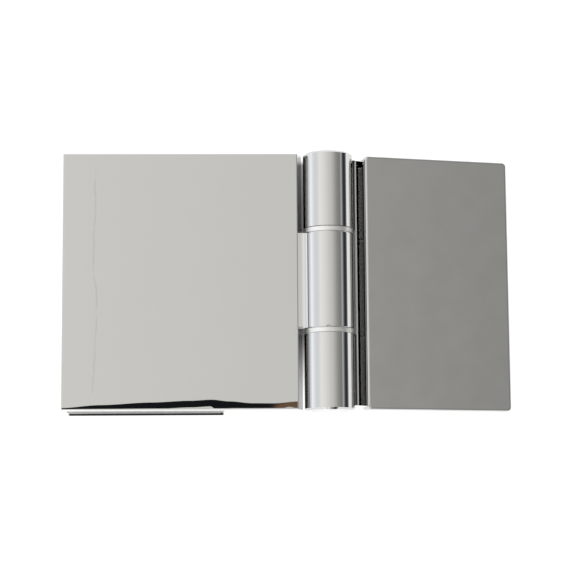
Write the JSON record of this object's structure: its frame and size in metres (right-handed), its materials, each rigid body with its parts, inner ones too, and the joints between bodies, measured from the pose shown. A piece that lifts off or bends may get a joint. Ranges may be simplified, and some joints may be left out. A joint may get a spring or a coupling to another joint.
{
  "type": "glass door hinge",
  "caption": "Polished chrome glass-door hinge: a wide leaf that clamps a glass pane and a narrow covered wall leaf turn on one three-knuckle barrel.",
  "frame": {"origin": "on the surface the hinge rests on, under the middle of the hinge's box", "axes": "+Y along the pin, +X from the glass leaf towards the wall leaf, +Z out of the polished front faces"},
  "size_m": [0.1142, 0.0656, 0.0189],
  "materials": {
    "polished_chrome": "mirror-polished chrome plate with faint buffing marks",
    "cover_chrome": "mirror-polished chrome plate, slightly mottled",
    "clear_gasket": "milky soft vinyl",
    "white_nylon": "moulded nylon",
    "stainless_steel": "machined stainless steel",
    "satin_steel": "satin turned steel",
    "black_steel": "black-oxide steel"
  },
  "bodies": {
    "glass_side": {"glass_leaf": "polished_chrome", "front_gasket": "clear_gasket", "back_gasket": "clear_gasket", "back_clamp_plate": "polished_chrome", "clamp_screws": "stainless_steel", "upper_glass_sleeve": "white_nylon", "lower_glass_sleeve": "white_nylon", "upper_bush": "satin_steel", "lower_bush": "satin_steel"},
    "wall_side": {"wall_leaf": "polished_chrome", "wall_cover": "cover_chrome", "upper_cover_spring": "stainless_steel", "lower_cover_spring": "stainless_steel", "hinge_pin": "stainless_steel", "upper_end_cap": "polished_chrome", "lower_end_cap": "polished_chrome", "pin_set_screws": "black_steel"}
  },
  "joints": [
    {"name": "leaf_hinge", "type": "hinge", "parent": "glass_side", "child": "wall_side", "pos_m": [0.01007, 0, 0.0125], "axis": [0, 1, 0], "range_deg": [-156, 130]}
  ]
}
